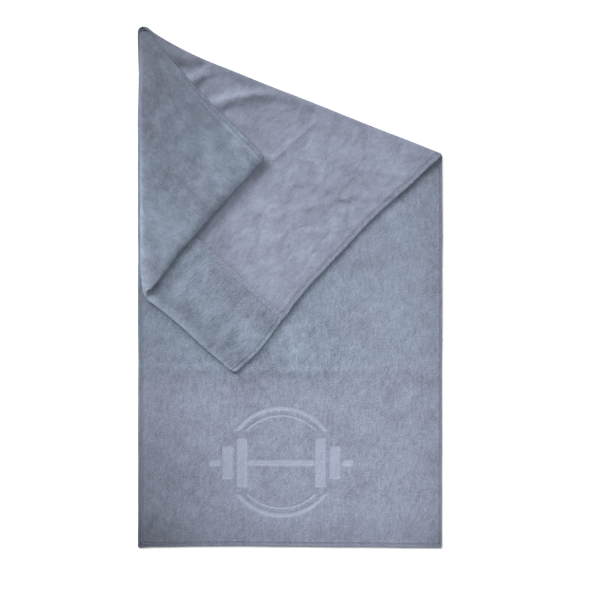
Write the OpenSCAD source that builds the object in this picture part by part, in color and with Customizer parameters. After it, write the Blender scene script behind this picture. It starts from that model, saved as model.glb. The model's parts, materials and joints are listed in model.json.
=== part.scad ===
// Quick dry towel with a hood pocket, lying folded.
// The head of the towel is folded down across the front along a slanting fold,
// and the left corner of that flap is turned back to the right.
// +X is the towel's width, +Y runs from the foot to the head, +Z is up.
// The origin is under the middle of the folded towel, on the surface it lies on.

/* [Towel] */
// Width of the finished towel
towel_w = 500; // [400:10:600]
// Length of the finished towel when it is opened out
towel_l = 1150; // [1000:10:1300]
// Thickness of the brushed cloth
cloth_t = 1.8; // [1.6:0.1:2]

/* [Hems and pocket] */
// Width of the side and foot hems
hem_w = 9; // [8:1:14]
// Thickness of the strip that a hem turns onto the rear face
hem_t = 1.0; // [0.8:0.1:1.2]
// How far a hem stands out of the front face
hem_rise = 0.4; // [0.2:0.1:0.6]
// Distance from the towel's edge to a hem's thread row
stitch_inset = 6; // [5:0.5:7.5]
// Width of a thread row
stitch_w = 0.9; // [0.6:0.1:1.2]
// Height of a thread row above the cloth
stitch_h = 0.2; // [0.1:0.05:0.25]
// Depth of the hood pocket, from the head fold to its mouth
hood_depth = 125; // [90:5:160]
// Width of the pocket's mouth hem
mouth_hem_w = 9; // [7:1:12]
// Distance from the pocket's free edge to its first thread row
mouth_stitch_inset = 1.6; // [1:0.2:2.4]
// Distance between the mouth hem's two thread rows
mouth_stitch_gap = 5; // [3:0.5:6]

/* [Folding] */
// Height at which the slanting fold leaves the left edge
fold_left_y = 852; // [800:2:880]
// Slope of the slanting fold in degrees, down to the right
fold_angle = 21.7; // [20:0.1:24]
// Distance from the left edge to the outside of the corner fold, at its top
corner_inset_top = 3.5; // [2:0.5:6]
// Distance from the left edge to the outside of the corner fold, at its foot
corner_inset_foot = 5; // [3:0.5:8]
// Height of the corner fold's axis above the flap, at its top
corner_loft_top = 0.8; // [0.6:0.1:1.2]
// Height of the corner fold's axis above the flap, at its foot, where four layers lie
corner_loft_foot = 3.9; // [3.8:0.1:6]
// How far the corner layer slopes up away from its fold, in degrees
corner_tilt = 1.2; // [0:0.1:2]
// Distance that the tip of the corner layer keeps from the slanting fold
tip_clear = 7; // [5:0.5:12]

/* [Pressed decoration] */
// Outer diameter of the decoration's ring
mark_d = 186; // [150:2:210]
// Width of the ring's line
mark_line = 7; // [5:0.5:10]
// Length of the bar across the ring
mark_bar_l = 240; // [200:2:260]
// Height of the decoration's middle above the foot
mark_y = 142; // [120:2:180]
// How far the decoration's middle lies left of the towel's
mark_shift = 14; // [0:1:30]
// Depth of the pressed lines
mark_depth = 0.6; // [0.3:0.1:0.8]

/* [Hidden] */
$fn = 64;

front_colour = [0.56, 0.59, 0.66];
rear_colour = [0.58, 0.59, 0.67];
hem_colour = [0.52, 0.55, 0.62];
thread_colour = [0.62, 0.65, 0.72];

// Clearance between bodies where they meet at a fold
body_gap = 0.2;
// Longer than any piece, for cutting half planes
far = 2000;
// Height of the mouth hem above the pocket's cloth
mouth_rise = 0.4;
// The hem's own cloth, above the turned strip
hem_cloth_t = cloth_t + hem_rise - hem_t;
front_z = cloth_t + hem_rise;
// Corner radius of the decoration's bar and weights, and the least straight part of their sides
mark_round = 4;
mark_straight = 0.2;
// Inner radius of the head fold's bend
head_bore = 0.1;
// Clearance of the slanting fold's axis over the thread
thread_clear = 0.3;

// The slanting fold's axis, over the hems and their thread
main_axis_z = front_z + stitch_h + thread_clear;
flap_rear_z = 2 * main_axis_z;

function heading(a) = [cos(a), sin(a)];
function angle_of(v) = atan2(v[1], v[0]);
function left_of(v) = [-v[1], v[0]] / norm(v);
function mirrored(p, q, a) = q - (p - q) + 2 * ((p - q) * heading(a)) * heading(a);
function cross2(a, b) = a[0] * b[1] - a[1] * b[0];
// Where the line through p along u meets the line through q along v
function meet(p, u, q, v) = p + u * cross2(q - p, v) / cross2(u, v);
// A long strip beside the line p to q, from `inset` to `inset + w` on its left
function strip(p, q, inset, w) = let (n = left_of(q - p), u = (q - p) / norm(q - p) * far) [
    p - u + n * inset, q + u + n * inset, q + u + n * (inset + w), p - u + n * (inset + w)
];

// Each fold turns about the line along its outside, half way up its bend, so the towel opens flat.
// The slanting fold runs from fold_a on the left edge to fold_b on the right edge
fold_u = heading(-fold_angle);
fold_a = [0, fold_left_y];
fold_b = meet(fold_a, fold_u, [towel_w, 0], [0, 1]);
inward = -left_of(fold_u);

// The head's two corners, after the slanting fold
flap_c = mirrored([towel_w, towel_l], fold_a, -fold_angle);
head_out = mirrored([0, towel_l], fold_a, -fold_angle);

// The corner fold runs from corner_top on the slanting fold to corner_foot on the head fold
corner_top = meet(fold_a, fold_u, [corner_inset_top, 0], [0, 1]);
corner_foot = meet(flap_c, head_out - flap_c, [corner_inset_foot, 0], [0, 1]);
corner_u = corner_foot - corner_top;
corner_e = mirrored(head_out, corner_top, angle_of(corner_u));
tip_e = mirrored(fold_a, corner_top, angle_of(corner_u));

// The bends reach this far in from the folds; the corner's bend is a slender cone
main_bend_r = main_axis_z;
bend_edge = fold_a + inward * main_bend_r;
bend_r_top = corner_loft_top + cloth_t;
bend_r_foot = corner_loft_foot + cloth_t;
bend_top = corner_top + left_of(corner_u) * bend_r_top;
bend_foot = corner_foot + left_of(corner_u) * bend_r_foot;
bend_u = bend_foot - bend_top;
bend_l = norm(bend_u);
bend_pitch = -atan2(corner_loft_foot - corner_loft_top, bend_l);

// Outlines seen from above, each running counterclockwise
foot_outline = [
    [0, 0], [towel_w, 0],
    meet(bend_edge, fold_u, [towel_w, 0], [0, 1]), meet(bend_edge, fold_u, [0, 0], [0, 1])
];
flap_d = meet(flap_c, head_out - flap_c, bend_top, bend_u);
flap_b = meet(bend_edge, fold_u, flap_c, fold_b - flap_c);
flap_outline = [meet(bend_edge, fold_u, bend_top, bend_u), flap_d, flap_c, flap_b];
tip_edge = fold_a + inward * tip_clear;
corner_d = meet(corner_foot, corner_e - corner_foot, bend_top, bend_u);
corner_tip_e = meet(tip_edge, fold_u, corner_e, tip_e - corner_e);
corner_outline = [
    meet(tip_edge, fold_u, bend_top, bend_u), corner_d, corner_e, corner_tip_e
];

module in_frame() {
    translate([-towel_w / 2, -fold_left_y / 2, 0]) children();
}

// The flap lies with its rear face up
module turned_down() {
    translate([0, 0, flap_rear_z]) mirror([0, 0, 1]) children();
}

module on_flap() {
    in_frame() turned_down() children();
}

// Into and out of the corner fold's own frame, whose X axis is the fold's axis
module at_corner_axis() {
    translate([corner_top[0], corner_top[1], flap_rear_z + corner_loft_top])
        rotate([0, 0, angle_of(corner_u)]) rotate([0, bend_pitch, 0]) children();
}

module from_corner_axis() {
    rotate([0, -bend_pitch, 0]) rotate([0, 0, -angle_of(corner_u)])
        translate([-corner_top[0], -corner_top[1], -flap_rear_z - corner_loft_top]) children();
}

// What lies level with the flap, folded over the corner's axis and sloping up from it
module folded_back() {
    in_frame() at_corner_axis() rotate([corner_tilt, 0, 0]) mirror([0, 0, 1])
        from_corner_axis() children();
}

module on_corner() {
    folded_back() turned_down() children();
}

module slab(z, h) {
    translate([0, 0, z]) linear_extrude(h) children();
}

// A 2D profile carried along the line p to q: its x is to the left, its y is up
module run(p, q) {
    translate([p[0], p[1], 0]) rotate([0, 0, angle_of(q - p)])
        rotate([90, 0, 90]) linear_extrude(norm(q - p)) children();
}

// The part of an outline that lies in the strip beside one of its edges
module edge_band(outline, p, q, inset, w) {
    intersection() {
        polygon(outline);
        polygon(strip(p, q, inset, w));
    }
}

// The part of an outline within w of one of its edges
module border(outline, p, q, w) {
    edge_band(outline, p, q, -1, 1 + w);
}

// Lying cloth that is thinned over its turned hems
module hemmed_cloth(outline, hemmed_edges) {
    difference() {
        union() {
            slab(0, cloth_t) polygon(outline);
            for (e = hemmed_edges) slab(hem_t, hem_cloth_t) border(outline, e[0], e[1], hem_w);
        }
        for (e = hemmed_edges) slab(-1, 1 + hem_t) polygon(strip(e[0], e[1], -1, 1 + hem_w));
    }
}

module hem_strip(outline, p, q) {
    slab(0, hem_t) border(outline, p, q, hem_w);
}

module front_thread(outline, p, q) {
    slab(front_z, stitch_h) edge_band(outline, p, q, stitch_inset - stitch_w / 2, stitch_w);
}

// Half of a bent cloth, on the right of the line of travel
module half_ring(outer_r, inner_r) {
    difference() {
        circle(outer_r);
        circle(inner_r);
        translate([0, -outer_r]) square([outer_r + 1, 2 * outer_r]);
    }
}

// The upper or lower half of a bend whose outside touches the line of travel
module quarter_bend(bend_r, side) {
    intersection() {
        translate([bend_r, 0]) half_ring(bend_r, bend_r - cloth_t);
        translate([0, side * (body_gap / 2 + bend_r)]) square(2 * bend_r, center = true);
    }
}

module rounded_bar(w, h) {
    r = min(mark_round, (w - mark_straight) / 2, (h - mark_straight) / 2);
    square([w - 2 * r, h], center = true);
    square([w, h - 2 * r], center = true);
    for (x = [-1, 1], y = [-1, 1]) translate([x * (w / 2 - r), y * (h / 2 - r)]) circle(r);
}

// A dumbbell across two open arcs
module decoration() {
    weight_w = mark_bar_l * 0.075;
    grip_l = mark_bar_l * 0.46;
    end_l = mark_bar_l * 0.08;
    bar_h = weight_w * 0.6;
    gap_h = mark_d * 0.56;
    difference() {
        circle(d = mark_d);
        circle(d = mark_d - 2 * mark_line);
        square([mark_d + 2, gap_h], center = true);
    }
    difference() {
        circle(d = mark_d - 4 * mark_line);
        circle(d = mark_d - 5 * mark_line);
        square([mark_d + 2, gap_h], center = true);
    }
    rounded_bar(grip_l, bar_h);
    for (side = [-1, 1]) {
        translate([side * mark_bar_l * 0.27, 0]) rounded_bar(weight_w, mark_d * 0.44);
        translate([side * mark_bar_l * 0.37, 0]) rounded_bar(weight_w, mark_d * 0.3);
        translate([side * (mark_bar_l - end_l) / 2, 0]) rounded_bar(end_l, bar_h);
    }
}

// The lower part of the towel

module foot_panel() {
    color(front_colour) in_frame() difference() {
        hemmed_cloth(foot_outline, [
            [foot_outline[0], foot_outline[1]], [foot_outline[1], foot_outline[2]],
            [foot_outline[3], foot_outline[0]]
        ]);
        slab(cloth_t - mark_depth, 1) translate([towel_w / 2 - mark_shift, mark_y]) decoration();
    }
}

module foot_hem() {
    color(hem_colour) in_frame() hem_strip(foot_outline, foot_outline[0], foot_outline[1]);
}

// A side hem begins where the foot hem ends
module side_hem(p, q) {
    in_frame() difference() {
        hem_strip(foot_outline, p, q);
        slab(-1, cloth_t + 1) polygon(strip(foot_outline[0], foot_outline[1], -1, 1 + hem_w));
    }
}

module left_hem() {
    color(hem_colour) side_hem(foot_outline[3], foot_outline[0]);
}

module right_hem() {
    color(hem_colour) side_hem(foot_outline[1], foot_outline[2]);
}

module foot_stitching() {
    color(thread_colour) in_frame() difference() {
        front_thread(foot_outline, foot_outline[0], foot_outline[1]);
        slab(front_z - 1, 2) polygon(strip(foot_outline[3], foot_outline[0], -1, 1 + stitch_inset));
        slab(front_z - 1, 2) polygon(strip(foot_outline[1], foot_outline[2], -1, 1 + stitch_inset));
    }
}

module side_stitching(p, q) {
    in_frame() difference() {
        front_thread(foot_outline, p, q);
        slab(front_z - 1, 2) polygon(strip(foot_outline[0], foot_outline[1], -1, 1 + hem_w));
        // the thread passes out of sight where the flap's fold covers it
        slab(front_z - 1, 2) polygon(strip(fold_b, fold_a, -1, 1 + hem_w));
    }
}

module left_stitching() {
    color(thread_colour) side_stitching(foot_outline[3], foot_outline[0]);
}

module right_stitching() {
    color(thread_colour) side_stitching(foot_outline[1], foot_outline[2]);
}

// The bent cloth along the slanting fold
module main_fold(side) {
    in_frame() intersection() {
        translate([0, 0, main_axis_z]) run(fold_b + fold_u * hem_w, fold_a - fold_u * hem_w)
            quarter_bend(main_bend_r, side);
        cube([towel_w, far, 2 * main_axis_z]);
    }
}

module main_fold_lower() {
    color(rear_colour) main_fold(-1);
}

// The flap, folded down over the front

module main_fold_upper() {
    color(rear_colour) main_fold(1);
}

module flap_panel() {
    color(rear_colour) on_flap() hemmed_cloth(flap_outline, [[flap_c, flap_b]]);
}

module flap_side_hem() {
    color(hem_colour) on_flap() hem_strip(flap_outline, flap_c, flap_b);
}

// A thread row on the rear face, over the side hem and clear of the pocket
module flap_side_stitching() {
    color(thread_colour) on_flap() difference() {
        slab(-stitch_h, stitch_h) edge_band(flap_outline, flap_c, flap_b,
            stitch_inset - stitch_w / 2, stitch_w);
        slab(-1, 2) polygon(strip(flap_d, flap_c, -1, 1 + hood_depth));
    }
}

// The pocket's cloth, under the towel's own cloth, along its head fold
module hood_panel(outline, p, q) {
    slab(-cloth_t, cloth_t) border(outline, p, q, hood_depth);
}

module hood_end_fold(p, q) {
    run(p, q) half_ring(cloth_t, head_bore);
}

module hood_mouth_hem(outline, p, q) {
    slab(-cloth_t - mouth_rise, mouth_rise)
        edge_band(outline, p, q, hood_depth - mouth_hem_w, mouth_hem_w);
}

module hood_mouth_stitching(outline, p, q) {
    hood_z = -cloth_t - mouth_rise - stitch_h;
    for (row = [0, 1]) slab(hood_z, stitch_h) edge_band(outline, p, q,
        hood_depth - mouth_stitch_inset - stitch_w - row * mouth_stitch_gap, stitch_w);
}

module hood_panel_flap() {
    color(front_colour) on_flap() hood_panel(flap_outline, flap_d, flap_c);
}

module hood_end_fold_flap() {
    color(front_colour) on_flap() hood_end_fold(flap_d, flap_c);
}

module hood_mouth_hem_flap() {
    color(hem_colour) on_flap() hood_mouth_hem(flap_outline, flap_d, flap_c);
}

module hood_mouth_stitching_flap() {
    color(thread_colour) on_flap() hood_mouth_stitching(flap_outline, flap_d, flap_c);
}

// The thread row that closes the pocket's side
module hood_side_stitching_flap() {
    color(thread_colour) on_flap() slab(-cloth_t - stitch_h, stitch_h) intersection() {
        edge_band(flap_outline, flap_c, flap_b, stitch_inset - stitch_w / 2, stitch_w);
        polygon(strip(flap_d, flap_c, 0, hood_depth - mouth_hem_w));
    }
}

// The lower half of the corner's conical bend, from one share of its length to its foot.
// `layer` counts the cloth layers outside it: 0 for the towel's cloth, 1 for the pocket's.
module corner_bend(start, layer) {
    start_r = bend_r_top + (bend_r_foot - bend_r_top) * start - layer * cloth_t;
    foot_r = bend_r_foot - layer * cloth_t;
    length = bend_l * (1 - start);
    start_z = flap_rear_z + corner_loft_top + (corner_loft_foot - corner_loft_top) * start;
    p = bend_top + bend_u * start;
    translate([p[0], p[1], start_z]) rotate([0, 0, angle_of(bend_u)]) rotate([0, bend_pitch, 0])
        intersection() {
            rotate([0, 90, 0]) difference() {
                cylinder(length, start_r, foot_r);
                cylinder(length, start_r - cloth_t, foot_r - cloth_t);
            }
            translate([-1, -far, -far - body_gap / 2]) cube([length + 2, far, far]);
        }
}

// The towel's cloth bends from just inside the slanting fold
module cloth_bend() {
    corner_bend(tip_clear / bend_l, 0);
}

// The pocket's cloth bends inside it, from the pocket's mouth
module hood_bend() {
    mouth = meet(corner_foot + left_of(flap_c - corner_foot) * hood_depth,
        flap_c - corner_foot, corner_top, corner_u);
    corner_bend(norm(mouth - corner_top) / norm(corner_u), 1);
}

module corner_fold_lower() {
    color(front_colour) in_frame() cloth_bend();
}

module hood_fold_lower() {
    color(front_colour) in_frame() hood_bend();
}

// The corner, turned back over the flap

module corner_fold_upper() {
    color(front_colour) folded_back() cloth_bend();
}

module hood_fold_upper() {
    color(front_colour) folded_back() hood_bend();
}

module corner_panel() {
    color(front_colour) on_corner() hemmed_cloth(corner_outline, [[corner_e, corner_tip_e]]);
}

module corner_side_hem() {
    color(hem_colour) on_corner() hem_strip(corner_outline, corner_e, corner_tip_e);
}

module corner_side_stitching() {
    color(thread_colour) on_corner() front_thread(corner_outline, corner_e, corner_tip_e);
}

module hood_panel_corner() {
    color(rear_colour) on_corner() hood_panel(corner_outline, corner_d, corner_e);
}

module hood_end_fold_corner() {
    color(front_colour) on_corner() hood_end_fold(corner_d, corner_e);
}

module hood_mouth_hem_corner() {
    color(hem_colour) on_corner() hood_mouth_hem(corner_outline, corner_d, corner_e);
}

module hood_mouth_stitching_corner() {
    color(thread_colour) on_corner() hood_mouth_stitching(corner_outline, corner_d, corner_e);
}

foot_panel();
foot_hem();
left_hem();
right_hem();
foot_stitching();
left_stitching();
right_stitching();
main_fold_lower();
main_fold_upper();
flap_panel();
flap_side_hem();
flap_side_stitching();
hood_panel_flap();
hood_end_fold_flap();
hood_mouth_hem_flap();
hood_mouth_stitching_flap();
hood_side_stitching_flap();
corner_fold_lower();
hood_fold_lower();
corner_fold_upper();
hood_fold_upper();
corner_panel();
corner_side_hem();
corner_side_stitching();
hood_panel_corner();
hood_end_fold_corner();
hood_mouth_hem_corner();
hood_mouth_stitching_corner();
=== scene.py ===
"""Looks of the quick dry towel: one cut of brushed cloth, folded twice, with its hems and sewing thread."""

import json
import math

import bpy
import numpy as np
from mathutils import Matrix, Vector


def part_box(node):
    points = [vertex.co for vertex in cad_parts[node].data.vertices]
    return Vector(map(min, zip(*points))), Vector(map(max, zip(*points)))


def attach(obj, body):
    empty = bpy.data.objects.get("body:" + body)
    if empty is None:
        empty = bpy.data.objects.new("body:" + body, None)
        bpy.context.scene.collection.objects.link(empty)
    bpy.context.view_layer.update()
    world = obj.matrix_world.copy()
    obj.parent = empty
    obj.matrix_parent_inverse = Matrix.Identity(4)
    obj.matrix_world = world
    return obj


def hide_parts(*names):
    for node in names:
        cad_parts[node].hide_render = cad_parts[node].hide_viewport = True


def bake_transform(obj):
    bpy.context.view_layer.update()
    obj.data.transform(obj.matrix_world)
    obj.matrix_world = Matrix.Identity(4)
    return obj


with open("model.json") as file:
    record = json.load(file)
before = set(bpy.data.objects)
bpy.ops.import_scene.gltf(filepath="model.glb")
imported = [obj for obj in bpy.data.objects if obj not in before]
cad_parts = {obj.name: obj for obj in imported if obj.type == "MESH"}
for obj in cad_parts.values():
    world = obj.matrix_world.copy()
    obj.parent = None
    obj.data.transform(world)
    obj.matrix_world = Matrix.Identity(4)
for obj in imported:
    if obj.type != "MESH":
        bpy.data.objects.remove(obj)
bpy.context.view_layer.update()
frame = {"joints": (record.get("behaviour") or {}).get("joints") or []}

# Lengths are in millimetres until a mesh is made. "Across" runs from the open towel's left edge and "up"
# from its foot, and "level" is the height above its rear face, so the front of plain cloth is at CLOTH.
# "Run" is "up" as far as the head fold, and goes on over it and down the pocket.
MM = 0.001
LENGTH = 1150.0
HOOD = 125.0
MOUTH_UP = LENGTH - HOOD
FOOT_LOW, FOOT_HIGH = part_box("foot_panel")
WIDTH = (FOOT_HIGH.x - FOOT_LOW.x) / MM
ORIGIN = np.array([FOOT_LOW.x, FOOT_LOW.y, 0.0])
HOOD_LOW, HOOD_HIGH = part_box("hood_panel_flap")
CLOTH = (HOOD_HIGH.z - HOOD_LOW.z) / MM
STRIP = (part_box("foot_hem")[1].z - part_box("foot_hem")[0].z) / MM
MARGIN_RISE = FOOT_HIGH.z / MM - CLOTH
ARC = math.pi * CLOTH / 2
CUT_LENGTH = LENGTH + ARC + HOOD
HEM = 9.0
ROW_INSET = 6.0
MOUTH_HEM = 9.0
MOUTH_ROWS = (2.0, 7.0)
TIP_CLEAR = 7.0
TILT = math.tan(math.radians(1.2))

JOINTS = {joint["name"]: joint for joint in frame["joints"]}


def hinge(name):
    """A joint's point, in towel millimetres, and its direction."""
    joint = JOINTS[name]
    return (np.array(joint["pos_m"]) - ORIGIN) / MM, np.array(joint["axis"])


# REACH is how far a bend reaches to each side of its fold line, and LOFT its axis's height over the flap.
MAIN_PIVOT, MAIN_AXIS = hinge("flap_fold")
CORNER_PIVOT, CORNER_AXIS = hinge("corner_fold")
MAIN_REACH = MAIN_PIVOT[2]
FLAP_REAR = 2 * MAIN_REACH
DOWN_FOLD = -MAIN_AXIS[:2]
PAST_FOLD = np.array([-DOWN_FOLD[1], DOWN_FOLD[0]])
DOWN_CORNER = CORNER_AXIS[:2] / np.linalg.norm(CORNER_AXIS[:2])
PAST_CORNER = np.array([DOWN_CORNER[1], -DOWN_CORNER[0]])
CORNER_RISE = CORNER_AXIS[2] / np.linalg.norm(CORNER_AXIS[:2])
CORNER_LOFT = CORNER_PIVOT[2] - FLAP_REAR


def smooth(x, low, high):
    """0 below low, 1 above high, and a smooth climb between them."""
    t = np.clip((x - low) / (high - low), 0, 1)
    return t * t * (3 - 2 * t)


def bump(x, middle, width):
    return np.exp(-(((x - middle) / width) ** 2))


def along_from(x, y, pivot, direction):
    """How far points seen from above lie from the pivot in a direction."""
    return (x - pivot[0]) * direction[0] + (y - pivot[1]) * direction[1]


def past_fold(x, y):
    return along_from(x, y, MAIN_PIVOT, PAST_FOLD)


def mirrored(x, y, pivot, normal):
    past = along_from(x, y, pivot, normal)
    return x - 2 * past * normal[0], y - 2 * past * normal[1]


def folded_plan(across, up):
    """Where the slanting fold carries points of the open towel, seen from above, and also the reverse."""
    return mirrored(across, up, MAIN_PIVOT, PAST_FOLD)


def fold_up(across):
    """How far up the towel the slanting fold crosses a line along it."""
    return MAIN_PIVOT[1] + (across - MAIN_PIVOT[0]) * DOWN_FOLD[1] / DOWN_FOLD[0]


def edge_of_bend(side):
    """The line on the open towel where the corner's bend starts (side -1) or ends (side 1), as a function
    of "up"."""
    ends = []
    for along in (0.0, 400.0):
        past = side * (CORNER_LOFT + CORNER_RISE * along + CLOTH)
        ends.append(folded_plan(*(CORNER_PIVOT[:2] + along * DOWN_CORNER + past * PAST_CORNER)))
    (a0, u0), (a1, u1) = ends
    return lambda up: a0 + (up - u0) * (a1 - a0) / (u1 - u0)


def up_of(run):
    """How far up the open towel a point of the cut lies."""
    return np.where(run > LENGTH + ARC, 2 * LENGTH + ARC - run, np.minimum(run, LENGTH))


bend_start = edge_of_bend(-1)
bend_end = edge_of_bend(1)
FOLD_FOOT = LENGTH - float(folded_plan(*CORNER_PIVOT[:2])[1])

# Each is the middle, width and height of a rise across the cloth by the top left tip.
TIP_RISES = [(0, 61, 12.6), (15, 8, 4.1), (27, 11, 1.3), (2, 6, 1.0)]
TIP_RADIUS = 9.0
POCKET_DROP = 15.0
END_PULL = (-4.7, 8.7)
WANDER = 0.5
# Between which heights of the folded towel the tip's rises come in and the foot's go out.
TIP_GROWS, FOOT_FADES = (640, 850), (0, 130)
# How far the edges bow outward: all along, and more or less on the stretches that settle gives.
FOOT_BOW, FOOT_LEFT, FOOT_RIGHT, FOOT_CORNER = 2.2, 1.3, 1.4, 1.6
RIGHT_BOW, RIGHT_UPPER, RIGHT_MARGIN = 1.9, 1.2, 2.4
LEFT_BOW, LEFT_UPPER, LEFT_NOTCH = 0.8, 0.4, 1.8


def settle(across, up, x, y, past_main, past_corner):
    """How the laid cloth strays from exact folds: the pocket's end droops, the corner's free end and the
    cloth by the tip are drawn up, and the towel's edges aren't quite straight."""
    start = bend_start(up)
    gap = LENGTH - up
    on_corner = past_corner > -1
    share = np.clip((WIDTH - across) / (WIDTH - start), 0, 1)
    share = np.where(on_corner, np.clip(across / np.maximum(start, 1), 0, 1), share)
    pull = np.where(on_corner, (1 - share) * np.clip(1 - gap / FOLD_FOOT, 0, 1), 0)
    drop = POCKET_DROP * (1 - smooth(gap, 0.35 * FOLD_FOOT, FOLD_FOOT)) * past_main
    x = x + END_PULL[0] * pull
    y = y - drop * share + END_PULL[1] * pull
    tip_lift = sum(rise * bump(x, middle, width) for middle, width, rise in TIP_RISES)
    tip_lift = tip_lift - inset(x, TIP_RADIUS)
    foot_lift = FOOT_BOW + FOOT_LEFT * bump(x, 140, 110) - FOOT_RIGHT * smooth(x, 330, 480)
    foot_lift = foot_lift - FOOT_CORNER * (1 - smooth(x, 0, 25))
    y = y + tip_lift * smooth(y, *TIP_GROWS) + foot_lift * (1 - smooth(y, *FOOT_FADES))
    right = (RIGHT_BOW + RIGHT_UPPER * smooth(y, 240, 400)) * smooth(x, 400, WIDTH)
    x = x + right + RIGHT_MARGIN * smooth(x, 470, 494) * (1 - smooth(x, 494, WIDTH))
    left = LEFT_BOW + LEFT_UPPER * smooth(y, 400, 600) - LEFT_NOTCH * bump(y, 783, 40)
    x = x - left * (1 - smooth(x, 0, 90))
    return x + WANDER * wander_across(x, y), y + WANDER * wander_up(x, y)


def inset(depth, radius):
    """How far a round corner of that radius draws the edge in, at a depth from the corner."""
    inside = np.clip(radius - depth, 0, radius)
    return radius - np.sqrt(np.clip(radius**2 - inside**2, 0, None))


HEAD_END = LENGTH + CLOTH
# The side, end and radius of the cut's corners.
CUT_CORNERS = ((0, 0, 2.5), (WIDTH, 0, 4.0), (0, HEAD_END, 3.0), (WIDTH, HEAD_END, 8.0))


def round_cut(across, up):
    """The same point of the cut after its outer corners are rounded, where it is near one."""
    for side, end, radius in CUT_CORNERS:
        dx = np.clip(radius - np.abs(across - side), 0, radius)
        dy = np.clip(radius - np.abs(up - end), 0, radius)
        both = (dx > 0) & (dy > 0)
        factor = np.where(both, np.maximum(dx, dy) / np.maximum(np.hypot(dx, dy), 1e-9), 1)
        inward = 1 if side == 0 else -1
        across = np.where(both, side + inward * (radius - dx * factor), across)
        inward = 1 if end == 0 else -1
        up = np.where(both, end + inward * (radius - dy * factor), up)
    return across, up


def waves(seed, count, shortest, longest):
    """A soft random surface from -1 to 1, as the sum of waves in several directions."""
    rng = np.random.default_rng(seed)
    angle = rng.uniform(0, math.pi, count)
    number = 2 * math.pi / rng.uniform(shortest, longest, count)
    phase = rng.uniform(0, 2 * math.pi, count)

    def height(x, y):
        total = np.zeros(np.shape(x))
        for a, k, p in zip(angle, number, phase):
            total += np.sin(k * (x * math.cos(a) + y * math.sin(a)) + p)
        return np.clip(total / (1.6 * math.sqrt(count)), -1, 1)

    return height


wander_across = waves(5, 9, 45, 220)
wander_up = waves(6, 9, 45, 220)
main_waves = waves(11, 14, 90, 300)
flap_waves = waves(23, 14, 80, 260)
flap_ripples = waves(29, 16, 28, 60)
corner_waves = waves(37, 12, 70, 220)
corner_ripples = waves(41, 14, 30, 60)
main_ripples = waves(43, 16, 24, 50)


def crease(x, y, start, end, left, right):
    """1 along the line from start to end, falling away over the widths left and right of it and past its
    ends."""
    length = math.dist(start, end)
    ux, uy = (end[0] - start[0]) / length, (end[1] - start[1]) / length
    dx, dy = x - start[0], y - start[1]
    along = dx * ux + dy * uy
    across = dy * ux - dx * uy
    width = np.where(across > 0, left, right)
    ends = smooth(along, -2 * left, left) * (1 - smooth(along, length - left, length + 2 * left))
    return np.exp(-((across / width) ** 2)) * ends


# Each crease is the line's start and end, its height, and its width on the left and the right of it.
MAIN_CREASES = [
    (0, 300, 260, 292, 0.5, 5, 6), (250, 292, 500, 300, 0.5, 5, 6), (432, 228, 500, 300, 0.4, 7, 7),
    (12, 12, 22, 40, -0.4, 10, 10),
]
FLAP_CREASES = [
    (30, 826, 70, 816, 3, 10, 14), (88, 768, 126, 789, 3.6, 9, 6), (120, 800, 190, 776, 3, 12, 12),
    (112, 731, 150, 741, 3.6, 10, 8), (150, 741, 196, 752, 4, 11, 8.5), (196, 752, 240, 755, 3.4, 11, 9),
    (240, 755, 300, 736, 2, 10, 9), (222, 640, 297, 709, 1.1, 6, 4), (322, 578, 425, 583, 1.9, 7, 5),
    (300, 600, 396, 548, 1.2, 6, 4), (360, 626, 440, 616, 1.4, 8, 5), (250, 600, 300, 604, 1.1, 6, 4),
    (262, 560, 322, 571, 1.2, 6, 4), (240, 520, 330, 610, 0.8, 6, 6), (180, 560, 226, 548, 1, 7, 5),
    (280, 520, 340, 528, 1, 7, 4), (395, 690, 500, 640, 1.2, 18, 18),
]
POCKET_CREASES = [
    (130, 330, 160, 372, 1.2, 7, 8), (60, 420, 96, 470, 1.2, 9, 9), (186, 372, 204, 404, 1, 7, 7),
]
CORNER_CREASES = [
    (150, 668, 186, 638, 0.5, 5, 6), (60, 560, 110, 600, 0.8, 12, 8), (30, 640, 44, 720, 1.1, 12, 9),
]
# Painted shade and highlights on the lower part, as creases whose height is how dark they are (lighter
# where negative): cast shadows beside the flap's folds, light and shade on its creases, and a broad patch.
MAIN_PAINTED_SHADE = [
    (0, 300, 500, 296, -0.04, 4, 4), (20, 288, 480, 286, 0.05, 5, 9), (338, 470, 420, 482, 0.07, 14, 14),
    (12, 411, 152, 290, 0.14, 3, 7), (174, 293, 240, 371, -0.22, 5, 6), (158, 284, 174, 287, -0.14, 4, 5),
    (431, 579, 500, 644, 0.27, 4, 9), (15, 24, 28, 52, 0.1, 4, 5),
]
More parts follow.
